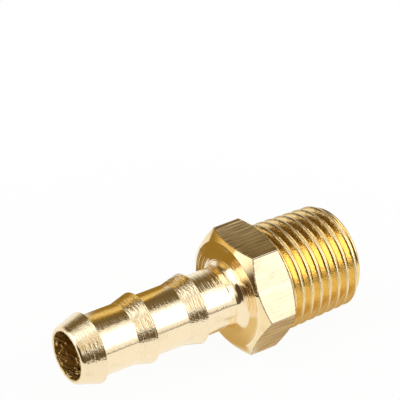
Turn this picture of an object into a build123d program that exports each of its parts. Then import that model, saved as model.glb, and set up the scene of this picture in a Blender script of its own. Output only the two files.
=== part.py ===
from build123d import *
from math import atan, cos, degrees, radians, tan
import os

# Hose barb tail in brass: a barbed spigot for an 8 mm hose, a 14 mm hexagon for the
# spanner and a male R 1/4 taper pipe thread, all turned from one hexagon bar and
# bored right through. It lies on a flat of its hexagon: X runs along the bore, from
# the hose end to the thread end, Z is up, and the origin is on the surface below
# the middle of the part. Lengths are in millimetres, angles in degrees.

# Bore
bore_diameter = 6.0
bore_chamfer = 0.3  # at the thread end only: the hose end is a thin rim

# Barbed spigot
tip_diameter = 7.1
tip_chamfer = 0.15
neck_diameter = 7.6
barb_diameter = 8.8
barb_count = 3
barb_spacing = 7.0  # crest to crest
first_barb_length = 2.85  # hose end to the first crest
barb_ramp_length = 2.3
collar_neck_length = 5.35  # last crest to the hexagon
collar_fillet = 1.2

# Hexagon
across_flats = 14.0
hexagon_length = 5.2
hose_face_diameter = 13.15
thread_face_diameter = 13.55
hexagon_chamfer_angle = 30.0  # from the face

# Male R 1/4 thread: 55 degree taper pipe thread, right hand
threads_per_inch = 19
thread_angle = 55.0
thread_taper = 1 / 16  # on the diameter
gauge_diameter = 13.157  # over the crests, in the gauge plane
gauge_length = 6.0  # thread end to the gauge plane
thread_length = 10.6  # hexagon to the thread end
end_face_diameter = 11.0
end_chamfer_length = 1.0

# Stations along the axis, from the hose end
barb_crests = [first_barb_length + barb * barb_spacing for barb in range(barb_count)]
hose_face = barb_crests[-1] + collar_neck_length
thread_face = hose_face + hexagon_length
overall_length = thread_face + thread_length

# The axis lies half the width across flats above the surface. In the profile plane
# x is the station and y the radius. Cross sections look along the bar, with y up.
axis_height = across_flats / 2
bar_axis = Axis((0, 0, axis_height), (1, 0, 0))
hose_end = (-overall_length / 2, 0, axis_height)
profile_plane = Plane(hose_end, x_dir=(1, 0, 0), z_dir=(0, -1, 0))
section_plane = Plane(hose_end, x_dir=(0, 1, 0), z_dir=(1, 0, 0))

# Form of the thread: a V with equal flats at crest and root
thread_pitch = 25.4 / threads_per_inch
thread_depth = 0.6403 * thread_pitch
flank_slope = tan(radians(thread_angle / 2))
root_width = thread_pitch / 2 - thread_depth * flank_slope
groove_height = thread_depth + 0.1 * thread_pitch  # the cutter stands out of the crests
mouth_width = root_width + 2 * groove_height * flank_slope


def crest_radius(station):
    """Radius over the thread's crests at a station. It shrinks towards the end."""
    from_gauge_plane = station - (overall_length - gauge_length)
    return (gauge_diameter - from_gauge_plane * thread_taper) / 2


# Thread: one V groove cut along a conical helix in tapered stock. Stock and groove
# run on inside the hexagon, so the thread starts at its face. At the other end the
# stock is longer than the thread, and is faced and chamfered after the groove.
helix_start = overall_length + 0.9 * thread_pitch
helix_end = thread_face - thread_pitch
stock_start = helix_end - thread_pitch
stock_end = helix_start + thread_pitch

with BuildPart() as thread:
    with BuildSketch(profile_plane):
        with BuildLine():
            Polyline(
                (stock_start, 0),
                (stock_start, crest_radius(stock_start)),
                (stock_end, crest_radius(stock_end)),
                (stock_end, 0),
                close=True,
            )
        make_face()
    revolve(axis=bar_axis)

    with BuildLine() as root_helix:
        Helix(
            pitch=thread_pitch,
            height=helix_start - helix_end,
            radius=crest_radius(helix_start) - thread_depth,
            center=(helix_start - overall_length / 2, 0, axis_height),
            direction=(-1, 0, 0),
            cone_angle=degrees(atan(thread_taper / 2)),
        )
    groove_plane = Plane(root_helix.line @ 0, x_dir=(0, 0, -1), z_dir=root_helix.line % 0)
    with BuildSketch(groove_plane):
        with BuildLine():
            Polyline(
                (0, -root_width / 2),
                (groove_height, -mouth_width / 2),
                (groove_height, mouth_width / 2),
                (0, root_width / 2),
                close=True,
            )
        make_face()
    sweep(path=root_helix.line, is_frenet=True, mode=Mode.SUBTRACT)

    chamfer_rise = crest_radius(overall_length - end_chamfer_length) - end_face_diameter / 2
    clear_radius = end_face_diameter / 2 + 2 * chamfer_rise
    with BuildSketch(profile_plane):
        with BuildLine():
            Polyline(
                (overall_length, 0),
                (overall_length, end_face_diameter / 2),
                (overall_length - 2 * end_chamfer_length, clear_radius),
                (stock_end + thread_pitch, clear_radius),
                (stock_end + thread_pitch, 0),
                close=True,
            )
        make_face()
    revolve(axis=bar_axis, mode=Mode.SUBTRACT)

with BuildPart() as hose_tail:
    # Hexagon, with its corners turned down to a chamfer on both faces
    with BuildSketch(section_plane.offset(hose_face)):
        RegularPolygon(radius=axis_height, side_count=6, major_radius=False)
    extrude(amount=hexagon_length)
    chamfer_slope = tan(radians(hexagon_chamfer_angle))
    corner_radius = axis_height / cos(radians(30))
    hose_chamfer = (corner_radius - hose_face_diameter / 2) * chamfer_slope
    thread_chamfer = (corner_radius - thread_face_diameter / 2) * chamfer_slope
    with BuildSketch(profile_plane):
        with BuildLine():
            Polyline(
                (hose_face, 0),
                (hose_face, hose_face_diameter / 2),
                (hose_face + hose_chamfer, corner_radius),
                (thread_face - thread_chamfer, corner_radius),
                (thread_face, thread_face_diameter / 2),
                (thread_face, 0),
                close=True,
            )
        make_face()
    revolve(axis=bar_axis, mode=Mode.INTERSECT)

    # Spigot: a plain neck with three ramps, each rising to a sharp crest that holds
    # the hose against being pulled off. The first ramp starts at the thin end rim.
    with BuildSketch(profile_plane):
        with BuildLine():
            Polyline(
                (0, 0),
                (0, tip_diameter / 2),
                (first_barb_length, barb_diameter / 2),
                (first_barb_length, neck_diameter / 2),
                (hose_face, neck_diameter / 2),
                (hose_face, 0),
                close=True,
            )
        make_face()
        for crest in barb_crests[1:]:
            with BuildLine():
                Polyline(
                    (crest - barb_ramp_length, neck_diameter / 2),
                    (crest, barb_diameter / 2),
                    (crest, neck_diameter / 2),
                    close=True,
                )
            make_face()
    revolve(axis=bar_axis)
    circles = hose_tail.edges().filter_by(GeomType.CIRCLE)
    chamfer(circles.sort_by(Axis.X)[0], tip_chamfer)
    on_neck = circles.filter_by(lambda edge: abs(edge.radius - neck_diameter / 2) < 0.001)
    fillet(on_neck.sort_by(Axis.X)[-1], collar_fillet)

    add(thread.part)

    with BuildSketch(section_plane):
        Circle(bore_diameter / 2)
    extrude(amount=overall_length, mode=Mode.SUBTRACT)
    end_face = hose_tail.faces().filter_by(GeomType.PLANE).sort_by(Axis.X)[-1]
    chamfer(end_face.edges().filter_by(GeomType.CIRCLE).sort_by(SortBy.RADIUS)[0], bore_chamfer)

hose_tail.part.label = "hose_tail"
os.makedirs("parts", exist_ok=True)
export_step(hose_tail.part, "parts/hose_tail.step")
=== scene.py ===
import math

import bmesh
import bpy
import numpy as np
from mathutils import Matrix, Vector


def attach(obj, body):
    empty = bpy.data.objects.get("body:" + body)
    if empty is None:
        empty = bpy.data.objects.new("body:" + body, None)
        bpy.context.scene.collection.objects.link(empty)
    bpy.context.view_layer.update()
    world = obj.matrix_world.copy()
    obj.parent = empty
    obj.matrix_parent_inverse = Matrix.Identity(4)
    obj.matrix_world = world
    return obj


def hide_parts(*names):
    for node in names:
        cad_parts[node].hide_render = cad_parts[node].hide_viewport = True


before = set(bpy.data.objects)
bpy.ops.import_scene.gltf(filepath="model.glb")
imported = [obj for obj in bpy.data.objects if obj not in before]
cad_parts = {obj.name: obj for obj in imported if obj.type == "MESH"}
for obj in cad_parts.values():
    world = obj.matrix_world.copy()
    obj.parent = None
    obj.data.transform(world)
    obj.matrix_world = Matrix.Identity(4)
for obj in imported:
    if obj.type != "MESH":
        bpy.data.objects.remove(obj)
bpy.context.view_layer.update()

# Sizes in millimetres. Stations are measured along the bore from the hose end.
overall_length = 38.0
axis_height = 7.0
bore_radius = 3.0
bore_chamfer = 0.3
tip_radius = 3.55
tip_chamfer = 0.15
neck_radius = 3.8
barb_radius = 4.4
barb_count = 3
barb_spacing = 7.0
first_crest = 2.85
ramp_length = 2.3
hose_face = 22.2
collar_fillet = 1.2
hose_face_radius = 6.575
thread_face = 27.4
thread_face_radius = 6.775
chamfer_slope = math.tan(math.radians(30))
thread_pitch = 25.4 / 19
thread_depth = 0.6403 * thread_pitch
thread_flat = 0.2228
thread_taper = 1 / 32
gauge_radius = 13.157 / 2
gauge_station = 32.0
first_thread_crest = 28.17
end_face_radius = 5.5
end_chamfer_slope = 0.9222

# Roundings in millimetres
bore_rim_rounding = 0.06
tip_rounding = 0.05
crest_rounding = 0.08
step_rounding = 0.1
ramp_rounding = 0.15
edge_rounding = 0.05
thread_face_rounding = 0.03
corner_softness = 0.14
crest_softness = 0.12
end_softness = 0.08

# How the brass is divided into columns and rows
columns = 216
column_crowding = 2.0
rows_per_pitch = 16
turns_before = 2
turns_of_thread = 10
crest_crowding = 0.55
fillet_rows = 13
neck_rows = 8
run_inset = 0.05
behind_step = 0.4
bore_seam = 0.4

millimetre = 0.001
micrometre = 0.000001
weld_distance = 5e-7

# Colours as red, green, blue and alpha
white = (1.0, 1.0, 1.0, 1.0)
pale_brass = (0.97, 0.81, 0.545, 1.0)
rich_brass = (0.92, 0.69, 0.3, 1.0)
dark_brass = (0.3, 0.19, 0.07, 1.0)
# The front flat's paler brass is a painted highlight.
front_highlight_brass = (0.92, 0.79, 0.58, 1.0)
floor_paint = (0.92, 0.92, 0.92, 1.0)
# Painted shadow on the floor under the part, tinted golden as painted bounce light. Only the metal
# sees it.
hexagon_shadow_gold = (0.68, 0.53, 0.32, 1.0)
spigot_shadow_gold = (0.79, 0.6, 0.3, 1.0)
face_shadow_gold = (0.6, 0.42, 0.16, 1.0)
# A glowing card's colours: a painted reflection of a second brass fitting, and its painted
# highlight band.
fitting_reflection_gold = (0.32, 0.19, 0.03, 1.0)
fitting_reflection_highlight = (0.85, 0.62, 0.24, 1.0)
shade_gold = (0.7, 0.5, 0.2, 1.0)
front_brown = (0.14, 0.1, 0.05, 1.0)
low_brown = (0.08, 0.055, 0.03, 1.0)
gap_brown = (0.17, 0.12, 0.05, 1.0)

# Heights of the finish, in micrometres. A name that ends in above is for the upper side only.
# The foot's height leans the end of the last neck into the collar's fillet.
ring_height = 20.0
broad_ring_height = 14.0
face_ring_height = 3.0
thread_ring_height = 5.0
last_neck_ring_height = 45.0
feed_height = 1.5
feed_height_above = 8.0
chatter_height = 22.0
chatter_height_above = 50.0
foot_height = 60.0
drawn_height = 16.0
top_hollow = 7.0
rolled_corner_height = 150.0
grain_height = 2.0
flank_grain_height = 20.0
flank_grain_height_above = 8.0
ramp_grain_height = 22.0
neck_grain_height = 16.0
edge_grain_height = 150.0
tick_height = 8.0
gouge_height = 70.0
deep_gouge_height = 200.0
feed_pitch = 0.3
ticks_per_turn = 220

# How much dark brass is mixed in, from 0 to 1. A relief is taken off again.
blotch_dirt = 0.12
ramp_grain_dirt = 0.06
first_ramp_dirt = 0.05
ramp_streak_dirt = 0.04
# The ramp streaks' extra darkness on the upper side is painted shade.
ramp_streak_shade_above = 0.26
drawn_dirt = 0.6
# Fewer drawn lines on the front flat are part of its painted highlight.
front_highlight_relief = 0.52
# The top flat's stronger drawn lines are painted shade.
top_drawn_shade = 0.15
flank_grain_dirt = 0.15
# The necks' dark grain is kept to the upper side, so it is partly painted shade.
neck_grain_and_shade = 0.12
flat_dirt = 0.18
# The top flat is lightened here, to tune its painted shade.
top_relief = 0.14
# The front flat is darkened here, to tune the colour of its painted highlight.
front_highlight_darkening = 0.18
edge_dirt = 0.8
# Streaks on the thread's flanks near the top only: thread marks, partly painted shade.
flank_streak_and_shade = 0.5
# The dark line beside each crest is painted shade, stronger on the upper side.
crest_shade_line_dark = 0.15
crest_shade_line_dark_above = 0.4
crest_dirt = 0.02
# The crests' extra darkening on the upper side is painted shade.
crest_shade_above = 0.2
bore_dirt = 0.5

# Roughness of the bare surface, and what each zone adds to it
base_roughness = 0.11
ramp_roughness = 0.03
flat_roughness = 0.14
bore_roughness = 0.2
face_roughness = 0.03
flank_roughness = 0.04
blotch_roughness = 0.1

# How strong the areas of the surround are
high_front_glow = 0.3
left_glow = 1.0
shade_share = 0.6
edge_share = 0.8

# The stage, in metres and degrees. The lens and its sensor are in millimetres.
floor_radius = 0.065
floor_corners = 96
card_centre_x = -0.0062
card_centre_y = 0.0123
card_radius = 0.0066
card_height = 0.022
card_strips = 40
lamp_bearing = 134
lamp_elevation = 34
lamp_distance = 0.6
lamp_width = 0.5
focal_length = 207.26
sensor_width = 36.0
camera_place = (-0.12532, -0.18499, 0.16480)
camera_way = (0.47053, 0.69790, -0.53994)


class Wire:
    """A node's output in plain arithmetic: every operator adds the Math node it needs."""

    def __init__(self, tree, socket=None):
        self.tree = tree
        self.socket = socket

    def node(self, kind, settings=(), inputs=(), out=0):
        """A node of this kind. Its settings come first, then its sockets' values or links."""
        made = self.tree.nodes.new(kind)
        for name, value in dict(settings).items():
            setattr(made, name, value)
        for name, value in dict(inputs).items():
            socket = pick(made.inputs, name)
            if isinstance(value, Wire):
                self.tree.links.new(value.socket, socket)
            else:
                socket.default_value = value
        return Wire(self.tree, pick(made.outputs, out)) if made.outputs else None

    def output(self, name):
        """Another output of the same node."""
        return Wire(self.tree, pick(self.socket.node.outputs, name))

    def math(self, operation, *others):
        return self.node("ShaderNodeMath", {"operation": operation}, enumerate((self, *others)))

    def after(self, operation, first):
        return self.node("ShaderNodeMath", {"operation": operation}, {0: first, 1: self})

    def __add__(self, other):
        return self.math("ADD", other)

    def __radd__(self, other):
        return self.after("ADD", other)

    def __sub__(self, other):
        return self.math("SUBTRACT", other)

    def __rsub__(self, other):
        return self.after("SUBTRACT", other)

    def __mul__(self, other):
        return self.math("MULTIPLY", other)

    def __truediv__(self, other):
        return self.math("DIVIDE", other)

    def __pow__(self, other):
        return self.math("POWER", other)

    def at_least(self, other):
        return self.math("MAXIMUM", other)

    def at_most(self, other):
        return self.math("MINIMUM", other)

    def rise(self, start, end):
        """0 before start and 1 past end, with a soft step between. It falls where end is first."""
        first, last = (0.0, 1.0) if start < end else (1.0, 0.0)
        return self.node(
            "ShaderNodeMapRange",
            {"interpolation_type": "SMOOTHSTEP"},
            {
                "Value": self,
                "From Min": min(start, end),
                "From Max": max(start, end),
                "To Min": first,
                "To Max": last,
            },
        )

    def band(self, start, end, soft):
        """1 from start to end, fading out over soft on both sides."""
        return self.rise(start - soft, start) * self.rise(end + soft, end)

    def vector(self, x, y, z):
        return self.node("ShaderNodeCombineXYZ", (), {0: x, 1: y, 2: z})

    def noise(self, vector, scale, detail, roughness, distortion=0.0):
        return self.node(
            "ShaderNodeTexNoise",
            {"noise_dimensions": "3D"},
            {
                "Vector": vector,
                "Scale": scale,
                "Detail": detail,
                "Roughness": roughness,
                "Distortion": distortion,
            },
        )

    def mixed(self, amount, first, second):
        """Two colours mixed by an amount: the first at 0, the second at 1."""
        return self.node(
            "ShaderNodeMix",
            {"data_type": "RGBA", "blend_type": "MIX", "clamp_factor": True},
            {0: amount, 6: first, 7: second},
            out=2,
        )


def pick(sockets, name):
    """A socket by its number, or the one in use of that name."""
    if isinstance(name, int):
        return sockets[name]
    return next(s for s in sockets if s.name == name and s.enabled)


def soft_min(a, b, width):
    """The lower of two numbers, with the corner between them rounded off."""
    near = np.maximum(width - np.abs(a - b), 0) / width
    return np.minimum(a, b) - near**3 * width / 6


def soft_max(a, b, width):
    return -soft_min(-a, -b, width)


def column_angles():
    """Angles of the columns from +Y towards +Z. They crowd at the hexagon's corners."""
    sixth = np.arange(columns + 1) * 6 / columns
    corner = np.floor(sixth + 0.5)
    away = sixth - corner
    return np.radians(60) * (corner + 0.5 * np.sign(away) * (2 * abs(away)) ** column_crowding)


angles = column_angles()


def hexagon_radius():
    """Radius of the flats at each column, rounded a little at the hexagon's corners."""
    across = angles % np.radians(60) - np.radians(30)
    beyond = across - np.where(across > 0, np.radians(60), np.radians(-60))
    return soft_min(axis_height / np.cos(across), axis_height / np.cos(beyond), corner_softness)


def thread_radius(station):
    """Radius of the thread's surface at one station, for each column."""
    turns = (station - first_thread_crest) / thread_pitch - angles / (2 * np.pi)
    from_crest = abs(turns - np.floor(turns + 0.5)) * thread_pitch
    cut = (from_crest - thread_flat / 2) / (thread_pitch / 2 - thread_flat)
    cut = soft_min(soft_max(cut, 0.0, crest_softness), 1.0, crest_softness)
    crest = gauge_radius - (station - gauge_station) * thread_taper
    chamfer = end_face_radius + (overall_length - station) * end_chamfer_slope
    return soft_min(crest - thread_depth * cut, chamfer, end_softness)


def rounded_profile(corners):
    """Rows of stations and radii along a profile. A corner is its station, its radius, the
    setback that is cut off on both sides of it, the steps of the curve that replaces it, and the
    number of rows on the straight before it."""
    points = [np.stack(np.broadcast_arrays(c[0] + 0 * angles, c[1])) for c in corners]
    rows = [points[0]]
    leave = points[0]
    following = points[2:] + points[-1:]
    for here, before, after, corner in zip(points[1:], points, following, corners[1:]):
        setback, steps, run = corner[2:]
        arrive = here + setback * towards(here, before)
        length = np.linalg.norm(arrive - leave, axis=0)
        inset = np.minimum(run_inset, length / 4)
        for k in range(run):
            share = k / max(run - 1, 1)
            rows.append(leave + (arrive - leave) / length * (inset + (length - 2 * inset) * share))
        rows.append(arrive)
        leave = arrive
        if steps:
            leave = here + setback * towards(here, after)
            for k in range(1, steps + 1):
                t = k / steps
                rows.append((1 - t) ** 2 * arrive + 2 * t * (1 - t) * here + t * t * leave)
    return rows


def towards(here, there):
    way = there - here
    return way / np.linalg.norm(way, axis=0)


def skin(shell, rows):
    """Adds a wall of quads through rows of rings."""
    rings = []
    for station, radius in rows:
        x = (station - overall_length / 2) * millimetre
        y = radius * np.cos(angles) * millimetre
        z = (axis_height + radius * np.sin(angles)) * millimetre
        rings.append([shell.verts.new(point) for point in zip(x.tolist(), y.tolist(), z.tolist())])
    for lower, upper in zip(rings, rings[1:]):
        for k in range(columns):
            shell.faces.new((lower[k], lower[k + 1], upper[k + 1], upper[k]))


def tip_rows():
    """From the bore over the thin rim, up the first ramp and down its step to the neck."""
    return rounded_profile(
        [
            (bore_seam, bore_radius, 0.0, 0, 0),
            (0.0, bore_radius, bore_rim_rounding, 4, 1),
            (0.0, tip_radius - tip_chamfer, tip_rounding, 3, 2),
            (tip_chamfer, tip_radius, tip_rounding, 3, 1),
            (first_crest, barb_radius, crest_rounding, 5, 9),
            (first_crest, neck_radius, step_rounding, 4, 3),
            (first_crest + behind_step, neck_radius, 0.0, 0, 0),
        ]
    )


def barb_rows():
    """One barb's profile, from behind a step to behind the next one."""
    crest = first_crest + barb_spacing
    return rounded_profile(
        [
            (first_crest + behind_step, neck_radius, 0.0, 0, 0),
            (crest - ramp_length, neck_radius, ramp_rounding, 4, neck_rows),
            (crest, barb_radius, crest_rounding, 5, 8),
            (crest, neck_radius, step_rounding, 4, 3),
            (crest + behind_step, neck_radius, 0.0, 0, 0),
        ]
    )


def hexagon_rows():
    """From the last neck through the collar's fillet and over the hexagon to the thread."""
    flats = hexagon_radius()
    last_crest = first_crest + (barb_count - 1) * barb_spacing
    corners = [(last_crest + behind_step, neck_radius, 0.0, 0, 0)]
    for k, turn in enumerate(np.radians(np.linspace(-90, 0, fillet_rows))):
        station = hose_face - collar_fillet + collar_fillet * math.cos(turn)
        radius = neck_radius + collar_fillet + collar_fillet * math.sin(turn)
        corners.append((station, radius, 0.0, 0, neck_rows if k == 0 else 0))
    corners += [
        (hose_face, hose_face_radius, edge_rounding, 3, 6),
        (hose_face + (flats - hose_face_radius) * chamfer_slope, flats, edge_rounding, 4, 3),
        (thread_face - (flats - thread_face_radius) * chamfer_slope, flats, edge_rounding, 4, 10),
        (thread_face, thread_face_radius, thread_face_rounding, 3, 3),
        (thread_face, thread_radius(thread_face), 0.0, 0, 1),
    ]
    return rounded_profile(corners)


def bore_rows():
    """From the thread's end face through the bore, back to the hose end."""
    return rounded_profile(
        [
            (overall_length, thread_radius(overall_length), 0.0, 0, 0),
            (overall_length, bore_radius + bore_chamfer, edge_rounding, 2, 4),
            (overall_length - bore_chamfer, bore_radius, edge_rounding, 2, 1),
            (bore_seam, bore_radius, 0.0, 0, 14),
        ]
    )


def new_geometry_tree(name, sizes):
    """A Geometry Nodes tree with a geometry and named numbers coming in, and a geometry out."""
    tree = bpy.data.node_groups.new(name, "GeometryNodeTree")
    tree.interface.new_socket("Geometry", in_out="OUTPUT", socket_type="NodeSocketGeometry")
    tree.interface.new_socket("Geometry", in_out="INPUT", socket_type="NodeSocketGeometry")
    for label, value in sizes.items():
        kind = "NodeSocketInt" if isinstance(value, int) else "NodeSocketFloat"
        tree.interface.new_socket(label, in_out="INPUT", socket_type=kind)
    wire = Wire(tree)
    return tree, wire, wire.node("NodeGroupInput")


def turned_grid(wire, given):
    """A grid, and the angle and row of its points. The angles follow column_angles."""
    rows = given.output("Rows")
    count = given.output("Columns")
    grid = wire.node(
        "GeometryNodeMeshGrid",
        (),
        {"Size X": 1.0, "Size Y": 1.0, "Vertices X": count + 1, "Vertices Y": rows},
    )
    index = wire.node("GeometryNodeInputIndex")
    column = ((index + 0.5) / rows).math("FLOOR")
    sixth = column * 6 / count
    corner = (sixth + 0.5).math("FLOOR")
    away = sixth - corner
    share = (away.math("ABSOLUTE") * 2) ** column_crowding
    angle = (corner + away.math("SIGN") * share * 0.5) * math.radians(60)
    return grid, angle, index - column * rows


def place_on_axis(wire, station, radius, angle):
    """A point in metres from its station, radius and angle in millimetres and radians."""
    return wire.vector(
        (station - overall_length / 2) * millimetre,
        radius * angle.math("COSINE") * millimetre,
        (radius * angle.math("SINE") + axis_height) * millimetre,
    )


def finish_tree(wire, geometry, material):
    """Closes the seam, smooths the shading, and ends a tree."""
    merged = wire.node(
        "GeometryNodeMergeByDistance", (), {"Geometry": geometry, "Distance": weld_distance}
    )
    smooth = wire.node("GeometryNodeSetShadeSmooth", (), {"Geometry": merged})
    real = wire.node("GeometryNodeRealizeInstances", (), {"Geometry": smooth})
    finished = wire.node(
        "GeometryNodeSetMaterial", (), {"Geometry": real, "Material": material}
    )
    wire.node("NodeGroupOutput", (), {"Geometry": finished})


def made_mesh(name, tree, sizes, source):
    """The plain mesh that a tree makes from a source mesh and its sizes."""
    maker = bpy.data.objects.new(name, source)
    bpy.context.collection.objects.link(maker)
    modifier = maker.modifiers.new(name, "NODES")
    modifier.node_group = tree
    for item in tree.interface.items_tree:
        if item.in_out == "INPUT" and item.name in sizes:
            modifier[item.identifier] = sizes[item.name]
    view = bpy.context.evaluated_depsgraph_get()
    mesh = bpy.data.meshes.new_from_object(maker.evaluated_get(view))
    bpy.data.objects.remove(maker)
    return mesh


def barb_mesh(material):
    """The second and third barbs: one profile turned round the axis, repeated along it."""
    rows = barb_rows()
    profile = bpy.data.meshes.new("barb_profile")
    profile.from_pydata([(row[0][0], row[1][0], 0.0) for row in rows], [], [])
    sizes = {
        "Rows": len(rows),
        "Columns": columns,
        "Barbs": barb_count - 1,
        "Barb Spacing": barb_spacing,
    }
    tree, wire, given = new_geometry_tree("turned_barbs", sizes)
    grid, angle, row = turned_grid(wire, given)
    point = wire.node(
        "GeometryNodeSampleIndex",
        {"data_type": "FLOAT_VECTOR", "domain": "POINT"},
        {
            "Geometry": given.output("Geometry"),
            "Value": wire.node("GeometryNodeInputPosition"),
            "Index": row,
        },
    )
    part = wire.node("ShaderNodeSeparateXYZ", (), {0: point})
    turned = wire.node(
        "GeometryNodeSetPosition",
        (),
        {
            "Geometry": grid,
            "Position": place_on_axis(wire, part.output("X"), part.output("Y"), angle),
        },
    )
    step = wire.vector(given.output("Barb Spacing") * millimetre, 0.0, 0.0)
    stops = wire.node(
        "GeometryNodeMeshLine", {"mode": "OFFSET"}, {"Count": given.output("Barbs"), "Offset": step}
    )
    barbs = wire.node("GeometryNodeInstanceOnPoints", (), {"Points": stops, "Instance": turned})
    real = wire.node("GeometryNodeRealizeInstances", (), {"Geometry": barbs})
    finish_tree(wire, real, material)
    return made_mesh("barb_maker", tree, sizes, profile)


def thread_mesh(material):
    """The taper thread: rows follow the helix, and are cut off at the hexagon and the end."""
    sizes = {
        "Columns": columns,
        "Rows per Pitch": rows_per_pitch,
        "Rows": rows_per_pitch * turns_of_thread + 1,
        "Turns Before": turns_before,
        "Pitch": thread_pitch,
        "Depth": thread_depth,
        "Crest Width": thread_flat,
        "Taper": thread_taper,
        "Gauge Radius": gauge_radius,
        "Gauge Station": gauge_station,
        "First Crest": first_thread_crest,
        "Start": thread_face,
        "End": overall_length,
        "End Face Radius": end_face_radius,
        "End Chamfer Slope": end_chamfer_slope,
    }
    tree, wire, given = new_geometry_tree("taper_thread", sizes)
    grid, angle, row = turned_grid(wire, given)
    pitch = given.output("Pitch")
    turn = row / given.output("Rows per Pitch") - given.output("Turns Before")
    crowd = turn * (4 * math.pi)
    crowded = turn - crowd.math("SINE") * (crest_crowding / (4 * math.pi))
    helix = angle / (2 * math.pi)
    station = given.output("First Crest") + (crowded + helix) * pitch
    station = station.at_least(given.output("Start")).at_most(given.output("End"))
    turns = (station - given.output("First Crest")) / pitch - helix
    from_crest = turns.math("PINGPONG", 0.5) * pitch
    flat = given.output("Crest Width")
    cut = (from_crest - flat / 2) / (pitch / 2 - flat)
    cut = cut.math("SMOOTH_MAX", 0.0, crest_softness)
    cut = cut.math("SMOOTH_MIN", 1.0, crest_softness)
    taper = (station - given.output("Gauge Station")) * given.output("Taper")
    radius = given.output("Gauge Radius") - taper - given.output("Depth") * cut
    chamfer = (given.output("End") - station) * given.output("End Chamfer Slope")
    chamfer = chamfer + given.output("End Face Radius")
    radius = radius.math("SMOOTH_MIN", chamfer, end_softness)
    turned = wire.node(
        "GeometryNodeSetPosition",
        (),
        {"Geometry": grid, "Position": place_on_axis(wire, station, radius, angle)},
    )
    finish_tree(wire, turned, material)
    return made_mesh("thread_maker", tree, sizes, bpy.data.meshes.new("thread_seed"))


def hose_tail_piece(material):
    """The whole fitting as one closed shell of brass."""
    shell = bmesh.new()
    skin(shell, tip_rows())
    skin(shell, hexagon_rows())
    skin(shell, bore_rows())
    for mesh in (barb_mesh(material), thread_mesh(material)):
        shell.from_mesh(mesh)
        bpy.data.meshes.remove(mesh)
    bmesh.ops.remove_doubles(shell, verts=shell.verts, dist=weld_distance)
    bmesh.ops.recalc_face_normals(shell, faces=shell.faces)
    mesh = bpy.data.meshes.new("hose_tail_brass")
    shell.to_mesh(mesh)
    shell.free()
    mesh.materials.clear()
    mesh.materials.append(material)
    mesh.polygons.foreach_set("use_smooth", [True] * len(mesh.polygons))
    piece = bpy.data.objects.new("hose_tail_brass", mesh)
    bpy.context.collection.objects.link(piece)
    return piece


def new_material(name):
    material = bpy.data.materials.new(name)
    material.use_nodes = True
    material.node_tree.nodes.clear()
    return material, Wire(material.node_tree)


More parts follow.
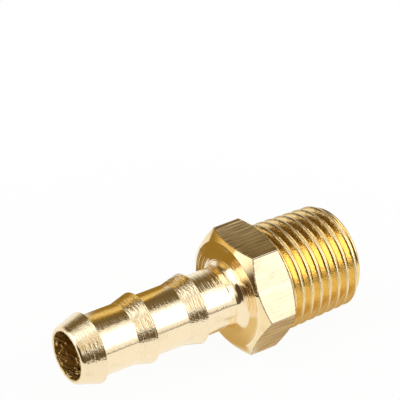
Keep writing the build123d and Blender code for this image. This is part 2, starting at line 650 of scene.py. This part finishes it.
def brass_finish():
    """Turned brass: rings from the tool, chatter on the ramps, drawn lines on the flats and grain
    and dirt in the thread. The upper and the front sides differ a little from the rest. Painted
    shade: a dark line beside each crest, darker streaks, grain and crests on the upper sides, and
    the top flat's richer brass. Painted highlight: the paler brass of the crests and of the front
    flat."""
    material, wire = new_material("turned_brass")
    place = wire.node("ShaderNodeTexCoord").output("Object")
    place = wire.node(
        "ShaderNodeVectorMath", {"operation": "SCALE"}, {"Vector": place, "Scale": 1 / millimetre}
    )
    part = wire.node("ShaderNodeSeparateXYZ", (), {0: place})
    station = part.output("X") + overall_length / 2
    across = part.output("Y")
    up = part.output("Z") - axis_height
    radius = (across * across + up * up) ** 0.5
    turn = up.math("ARCTAN2", across) / (2 * math.pi)

    # Zones of the surface: 1 inside, 0 outside
    in_bore = radius.rise(3.2, 3.06)
    outside = 1 - in_bore
    since_ramp = (station - first_crest + ramp_length).math("FLOORED_MODULO", barb_spacing)
    on_ramp = since_ramp.band(0.05, ramp_length + 0.05, 0.1) * station.rise(17.0, 16.9) * outside
    on_first = station.rise(2.95, 2.8) * outside
    on_spigot = station.rise(21.0, 20.4) * outside
    on_last_neck = station.rise(16.0, 17.0)
    on_foot = station.rise(20.4, 21.05) * outside
    on_neck = on_spigot * (1 - on_ramp) * (1 - on_first)
    on_face = station.band(hose_face - 0.5, hose_face + 0.2, 0.2) * radius.rise(6.62, 6.54)
    front_way = up * 0.5 - across * 0.866
    back_way = up * 0.5 + across * 0.866
    outward = up.math("ABSOLUTE").at_least(front_way.math("ABSOLUTE"))
    outward = outward.at_least(back_way.math("ABSOLUTE"))
    on_hexagon = station.band(hose_face + 0.1, thread_face - 0.05, 0.05) * outside
    on_flats = on_hexagon * outward.rise(6.95, 6.99)
    on_top = on_flats * up.rise(6.85, 6.95)
    on_front = on_flats * front_way.rise(6.85, 6.95)
    on_thread = station.rise(thread_face, thread_face + 0.05) * outside
    above_middle = up.rise(-0.5, 3.0)
    above_bore = up.rise(1.9, 3.0)
    ramp_top = up.rise(2.8, 3.8)
    below_neck_top = up.rise(3.6, 3.0)

    # Zones that follow the thread's crest and the edges of the flats
    turns = (station - first_thread_crest) / thread_pitch - turn
    from_crest = (turns - (turns + 0.5).math("FLOOR")) * thread_pitch
    crest_line = from_crest.band(-0.09, 0.12, 0.04) * on_thread
    # A strip beside each crest that takes painted shade.
    crest_shade_line = from_crest.band(-0.2, -0.13, 0.05) * on_thread
    on_flank = on_thread * (1 - crest_line)

    past_chamfer = station - hose_face - (radius - hose_face_radius) * chamfer_slope
    past_flat = thread_face - station - (radius - thread_face_radius) * chamfer_slope
    flat_edge = past_chamfer.band(0.04, 0.12, 0.03).at_least(past_flat.band(0.04, 0.1, 0.03))
    flat_edge = flat_edge * on_flats
    rolled_corner = (across - 3.5).at_least(0.0) * 2 - (across - 3.38).at_least(0.0)

    def streaks(way, along, sideways, detail):
        """Noise with these numbers of cells per millimetre along a way and sideways."""
        cells = wire.vector(way * along, across * sideways, up * sideways)
        return wire.noise(cells, 1.0, detail, 0.5)

    path = station + radius * 1.3
    rings = streaks(path, along=5.0, sideways=0.25, detail=1.0)
    broad = streaks(path, along=1.7, sideways=0.1, detail=2.0)
    chatter = streaks(path, along=5.0, sideways=1.2, detail=1.0)
    drawn = streaks(station, along=0.25, sideways=6.0, detail=2.0)
    threading = streaks(from_crest, along=9.0, sideways=0.9, detail=2.0)
    grain = wire.noise(place, 5.0, 1.5, 0.5)
    blotch = wire.noise(place, 0.6, 3.0, 0.6)
    around = turn * (2 * math.pi) + station * 0.4
    drilled = wire.vector(around.math("COSINE") * 4.5, around.math("SINE") * 4.5, station * 0.3)
    gouges = wire.noise(drilled, 1.0, 2.0, 0.5, 0.3)
    feed = (radius * (2 * math.pi / feed_pitch) + broad * 9.0).math("SINE")
    ticks = (turn * (2 * math.pi * ticks_per_turn) + grain * 3.0).math("SINE")

    height = on_spigot * ring_height + on_face * face_ring_height + on_thread * thread_ring_height
    height = rings * height
    height = height + broad * (on_spigot * broad_ring_height + on_face * face_ring_height)
    height = height + feed * on_face * (feed_height + up.rise(-1.0, 2.0) * feed_height_above)
    chatter_above = chatter_height_above - on_first * chatter_height_above
    height = height + chatter * on_ramp * (chatter_height + ramp_top * chatter_above)
    height = height + on_foot * below_neck_top * foot_height
    height = height + drawn * on_flats * drawn_height
    height = height - across * across * on_top * top_hollow
    height = height + rolled_corner * on_top * rolled_corner_height
    flank_grain = flank_grain_height + up.rise(5.0, 6.0) * flank_grain_height_above
    rough = grain_height + on_flank * flank_grain + on_ramp * ramp_grain_height
    height = height + grain * (rough + flat_edge * edge_grain_height)
    height = height + ticks * crest_line * tick_height
    height = height + grain * on_neck * above_bore * neck_grain_height
    height = height + rings * on_neck * on_last_neck * above_bore * last_neck_ring_height
    deep_gouges = blotch.rise(0.46, 0.6) * deep_gouge_height
    height = height + gouges * in_bore * (gouge_height + deep_gouges)

    # From pale brass to rich brass
    # The top flat's richer brass is painted shade.
    richness = on_hexagon * 0.5 - on_flats * 0.45 + on_top * 0.7 + on_thread + in_bore
    # Painted highlight: the thread's crests take a paler brass.
    colour = wire.mixed(richness - crest_line * 0.7, pale_brass, rich_brass)
    # Painted highlight: the front flat takes a paler brass.
    colour = wire.mixed(on_front, colour, front_highlight_brass)

    dull = blotch.rise(0.52, 0.75) * (1 - on_face) * blotch_dirt
    dull = dull + grain.rise(0.57, 0.66) * on_ramp * ramp_grain_dirt
    dull = dull + on_first * first_ramp_dirt
    # Chatter streaks on the ramps are tool marks. Their extra darkness on the upper side is painted
    # shade.
    ramp_streaks = chatter.rise(0.5, 0.6) * on_ramp * (1 - on_first)
    dull = dull + ramp_streaks * (ramp_streak_dirt + ramp_top * ramp_streak_shade_above)
    # Drawn lines on the flats: fewer on the front as painted highlight, more on the top as painted
    # shade.
    lines = on_flats * drawn_dirt - on_front * front_highlight_relief + on_top * top_drawn_shade
    dull = dull + drawn.rise(0.42, 0.64) * lines
    dull = dull + grain.rise(0.5, 0.7) * on_flank * flank_grain_dirt
    # Dark grain on the necks, upper side only: grain with painted shade.
    dull = dull + grain.rise(0.5, 0.7) * on_neck * above_bore * neck_grain_and_shade
    # The top flat is lightened and the front flat darkened here, to tune their painted shade and
    # painted highlight.
    dull = dull + on_flats * flat_dirt - on_top * top_relief + on_front * front_highlight_darkening
    dull = dull + flat_edge * grain.rise(0.45, 0.58) * edge_dirt
    # Streaks on the flanks, kept near the top: thread marks with painted shade.
    flank_streaks = threading.rise(0.44, 0.6) * on_flank * up.rise(5.2, 6.0)
    dull = dull + flank_streaks * flank_streak_and_shade
    # Painted shade: a dark line beside each crest, stronger on the upper side.
    dull = dull + crest_shade_line * (crest_shade_line_dark + above_middle * crest_shade_line_dark_above)
    # Crest lines: a little dirt all round, and painted shade on the upper side.
    dull = dull + crest_line * (crest_dirt + above_middle * crest_shade_above)
    dull = dull + in_bore * gouges.rise(0.4, 0.62) * bore_dirt
    colour = wire.mixed(dull, colour, dark_brass)

    roughness = base_roughness + on_ramp * ramp_roughness + on_flats * flat_roughness
    roughness = roughness + in_bore * bore_roughness + on_face * face_roughness
    roughness = roughness + on_flank * flank_roughness
    roughness = roughness + (blotch - 0.5) * blotch_roughness
    normal = wire.node(
        "ShaderNodeBump", (), {"Strength": 1.0, "Distance": micrometre, "Height": height}
    )
    shader = wire.node(
        "ShaderNodeBsdfPrincipled",
        (),
        {"Base Color": colour, "Metallic": 1.0, "Roughness": roughness, "Normal": normal},
    )
    wire.node("ShaderNodeOutputMaterial", (), {"Surface": shader})
    return material


def floor_finish():
    """Pale matt floor that shows white, with the part's soft shadow left on it. Near the part,
    the metal mirrors painted shadow on it, tinted golden as painted bounce light from the brass."""
    material, wire = new_material("pale_floor")
    path = wire.node("ShaderNodeLightPath")
    seen = path.output("Is Camera Ray")
    mirrored = path.output("Is Glossy Ray").at_least(path.output("Is Transmission Ray"))
    place = wire.node("ShaderNodeTexCoord").output("Object")
    part = wire.node("ShaderNodeSeparateXYZ", (), {0: place})
    x = part.output("X")
    y = part.output("Y")
    # Patches of painted shadow and golden bounce light under the hexagon, the spigot and the face.
    shadow_under_hexagon = x.band(0.0055, 0.019, 0.0015) * y.band(-0.008, 0.008, 0.003)
    shadow_under_spigot = x.band(-0.006, 0.003, 0.0012) * y.rise(0.009, 0.008)
    shadow_under_spigot = shadow_under_spigot * (y + x * 0.7).rise(-0.0018, -0.0008)
    under_face = x.rise(-0.001, 0.0022)
    colour = wire.mixed(shadow_under_hexagon, white, hexagon_shadow_gold)
    colour = wire.mixed(shadow_under_spigot, colour, wire.mixed(under_face, spigot_shadow_gold, face_shadow_gold))
    colour = wire.mixed(seen, colour, white)
    matt = wire.node("ShaderNodeBsdfDiffuse", (), {"Color": floor_paint})
    glow = wire.node("ShaderNodeEmission", (), {"Color": colour, "Strength": 1.0})
    far = (x * x + y * y).math("SQRT").rise(0.03, 0.06)
    share = (seen * (0.95 + far * 0.05)).at_least(mirrored * 0.92)
    mixed = wire.node("ShaderNodeMixShader", (), {0: share, 1: matt, 2: glow})
    wire.node("ShaderNodeOutputMaterial", (), {"Surface": mixed})
    return material


def studio():
    """White surround that the metal mirrors, with dark and bright areas. It shows as white."""
    world = bpy.data.worlds.new("studio")
    world.use_nodes = True
    world.node_tree.nodes.clear()
    wire = Wire(world.node_tree)
    way = wire.node("ShaderNodeTexCoord").output("Generated")
    part = wire.node("ShaderNodeSeparateXYZ", (), {0: way})
    x, y, z = (part.output(name) for name in "XYZ")
    bearing = x.math("ARCTAN2", y) * (180 / math.pi)
    turned = bearing.math("FLOORED_MODULO", 360.0)
    height = z.math("ARCSINE") * (180 / math.pi)

    # Areas by bearing, in degrees from +Y towards +X, and by height above the horizon
    behind = bearing.band(-35.0, 12.0, 15.0) * height.rise(2.0, 32.0) * height.rise(68.0, 52.0)
    right = bearing.band(15.0, 98.0, 12.0) * height.rise(6.0, 40.0) * height.rise(80.0, 64.0)
    low_front = turned.band(170.0, 208.0, 5.0) * height.rise(34.0, 14.0)
    front_left = turned.band(206.0, 262.0, 9.0) * height.rise(52.0, 40.0)
    low_left = turned.band(258.0, 286.0, 6.0) * height.rise(8.0, 3.0)
    near_edge = turned.band(100.0, 185.0, 5.0) * height.rise(-3.0, -4.5)
    far_edge = turned.band(100.0, 150.0, 3.0) * height.rise(1.0, -1.0)
    high_front = turned.band(160.0, 186.0, 4.0) * height.band(36.0, 56.0, 8.0)
    shade = turned.band(186.0, 212.0, 4.0) * height.band(36.0, 68.0, 6.0)
    left = turned.band(250.0, 306.0, 8.0) * height.band(14.0, 80.0, 8.0)
    gap = behind.at_least(right)
    low = front_left.at_least(low_left)
    low = low.at_least(near_edge * edge_share).at_least(far_edge * edge_share)

    bright = 1.0 + high_front * high_front_glow + left * left_glow
    walls = wire.vector(bright, bright, bright)
    walls = wire.mixed(shade * shade_share, walls, shade_gold)
    walls = wire.mixed(low_front, walls, front_brown)
    walls = wire.mixed(low, walls, low_brown)
    walls = wire.mixed(gap, walls, gap_brown)
    path = wire.node("ShaderNodeLightPath")
    shown = wire.mixed(path.output("Is Camera Ray"), walls, white)
    light = wire.node("ShaderNodeBackground", (), {"Color": shown, "Strength": 1.0})
    wire.node("ShaderNodeOutputWorld", (), {"Surface": light})
    bpy.context.scene.world = world


def stage_sheet(name, points, faces, material):
    """A plain sheet that belongs to the set and not to the part."""
    mesh = bpy.data.meshes.new(name)
    mesh.from_pydata(points, [], faces)
    mesh.materials.append(material)
    sheet = bpy.data.objects.new(name, mesh)
    bpy.context.collection.objects.link(sheet)
    return sheet


def pale_floor():
    """A round table top under the part."""
    turn = np.linspace(0, 2 * np.pi, floor_corners + 1)[:-1]
    points = [(floor_radius * math.cos(a), floor_radius * math.sin(a), 0.0) for a in turn]
    stage_sheet("floor", points, [tuple(range(floor_corners))], floor_finish())


def fitting_reflection_card():
    """A bent gold card close behind the barbs, which only the metal sees: it glows as a painted
    reflection of a second brass fitting, with a painted highlight band.
    """
    material, wire = new_material("fitting_reflection_card")
    place = wire.node("ShaderNodeTexCoord").output("Object")
    part = wire.node("ShaderNodeSeparateXYZ", (), {0: place})
    x = part.output("X")
    z = part.output("Z")
    # A band of painted highlight on the glowing card.
    painted_highlight_band = z.band(0.0146, 0.0164, 0.003) * x.rise(0.0015, -0.002)
    colour = wire.mixed(painted_highlight_band, fitting_reflection_gold, fitting_reflection_highlight)
    glow = wire.node("ShaderNodeEmission", (), {"Color": colour, "Strength": 1.0})
    clear = wire.node("ShaderNodeBsdfTransparent")
    solid = x.rise(-0.0127, -0.0112) * z.rise(card_height, card_height - 0.002)
    shown = wire.node("ShaderNodeMixShader", (), {0: solid, 1: clear, 2: glow})
    wire.node("ShaderNodeOutputMaterial", (), {"Surface": shown})
    turn = np.radians(np.linspace(170, 370, card_strips + 1))
    ring = [
        (card_centre_x + card_radius * math.cos(a), card_centre_y + card_radius * math.sin(a))
        for a in turn
    ]
    points = [(x, y, z) for z in (0.0, card_height) for x, y in ring]
    above = card_strips + 1
    faces = [(k, k + 1, k + 1 + above, k + above) for k in range(card_strips)]
    card = stage_sheet("fitting_reflection_card", points, faces, material)
    card.visible_camera = False
    card.visible_diffuse = False
    card.visible_shadow = False


def window_lamp():
    """A large soft lamp in front, on the right."""
    lamp = bpy.data.lights.new("window_lamp", "AREA")
    lamp.shape = "SQUARE"
    lamp.size = lamp_width
    lamp.energy = 1.0
    stand = bpy.data.objects.new("window_lamp", lamp)
    bearing = math.radians(lamp_bearing)
    elevation = math.radians(lamp_elevation)
    east = math.sin(bearing) * math.cos(elevation)
    north = math.cos(bearing) * math.cos(elevation)
    way = Vector((east, north, math.sin(elevation)))
    stand.location = way * lamp_distance
    stand.rotation_euler = way.to_track_quat("Z", "Y").to_euler()
    stand.visible_camera = False
    bpy.context.collection.objects.link(stand)


def camera():
    """A long lens, looking down along the part from its hose end."""
    lens = bpy.data.cameras.new("camera")
    lens.lens = focal_length
    lens.sensor_width = sensor_width
    lens.clip_start = 0.01
    lens.clip_end = 10.0
    stand = bpy.data.objects.new("camera", lens)
    stand.location = camera_place
    stand.rotation_euler = Vector(camera_way).to_track_quat("-Z", "Y").to_euler()
    bpy.context.collection.objects.link(stand)
    bpy.context.scene.camera = stand


brass = brass_finish()
hose_tail = hose_tail_piece(brass)
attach(hose_tail, "root")
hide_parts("hose_tail")
pale_floor()
fitting_reflection_card()
studio()
window_lamp()
camera()
bpy.context.scene.view_settings.view_transform = "Standard"
